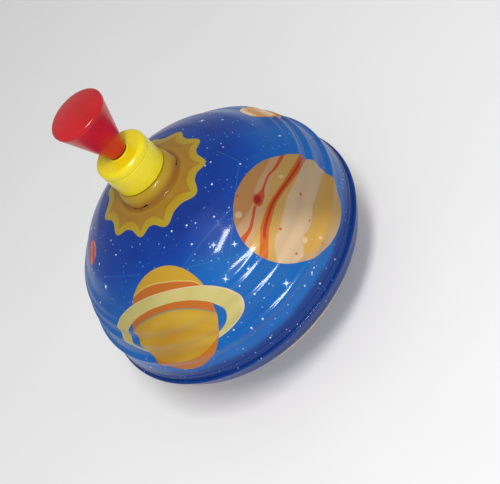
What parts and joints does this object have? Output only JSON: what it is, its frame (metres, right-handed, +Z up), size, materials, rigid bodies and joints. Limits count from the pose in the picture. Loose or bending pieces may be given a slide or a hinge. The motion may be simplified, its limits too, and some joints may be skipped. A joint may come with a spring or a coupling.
{
  "type": "humming top",
  "caption": "Pump-action tin humming top: a printed dome and bowl drum that spins on a still foot, driven by a cone handle on a twisted rod through a clutch collar.",
  "frame": {"origin": "centre of the flat face of the rubber sole that the top stands on", "axes": "+Z up along the spin axis, from the sole to the handle; -Y towards the side of the dome that the picture shows"},
  "size_m": [0.19, 0.19, 0.2085],
  "materials": {
    "dome_print": "glossy lithographed tinplate, blue sky with planets and a sun round the boss",
    "bowl_print": "glossy lithographed tinplate, blue with yellow and orange bands",
    "yellow_plastic": "moulded, glossy",
    "red_plastic": "moulded, glossy",
    "white_nylon": "moulded nylon, satin",
    "steel": "zinc plated, satin",
    "bright_steel": "nickel plated, bright",
    "brass": "bright rolled brass",
    "plain_aluminium": "mill finish",
    "rubber": "matt moulded rubber"
  },
  "bodies": {
    "foot": {"foot_sole": "rubber", "foot_cup": "yellow_plastic", "spindle_tube": "steel", "rod_guide_bush": "white_nylon", "thrust_washer": "steel"},
    "drum": {"lower_shell": "bowl_print", "lower_hub_bush": "white_nylon", "hub_lock_ring": "steel", "upper_shell": "dome_print", "top_bush": "white_nylon", "top_lock_ring": "steel", "reed_plate": "plain_aluminium", "reeds": "brass", "reed_rivets": "brass", "clutch_ring": "white_nylon", "collar_body": "yellow_plastic", "collar_cap": "yellow_plastic", "cap_bush": "brass"},
    "driver": {"driver_disc": "white_nylon", "driver_key_plate": "steel"},
    "handle": {"spiral_rod": "bright_steel", "rod_stop": "steel", "knob_cone": "red_plastic", "knob_cap": "red_plastic", "knob_pin": "steel"}
  },
  "joints": [
    {"name": "drum_spin", "type": "hinge", "parent": "foot", "child": "drum", "pos_m": [0, 0, 0.0129], "axis": [0, 0, 1], "continuous": true},
    {"name": "handle_plunge", "type": "slide", "parent": "foot", "child": "handle", "axis": [0, 0, 1], "range_m": [0, 0.11]},
    {"name": "driver_spin", "type": "hinge", "parent": "foot", "child": "driver", "pos_m": [0, 0, 0.156], "axis": [0, 0, 1], "range_deg": [-901, 1]}
  ],
  "couplings": [
    {"joint": "driver_spin", "follows": "handle_plunge", "rad_per_m": -142.8}
  ]
}
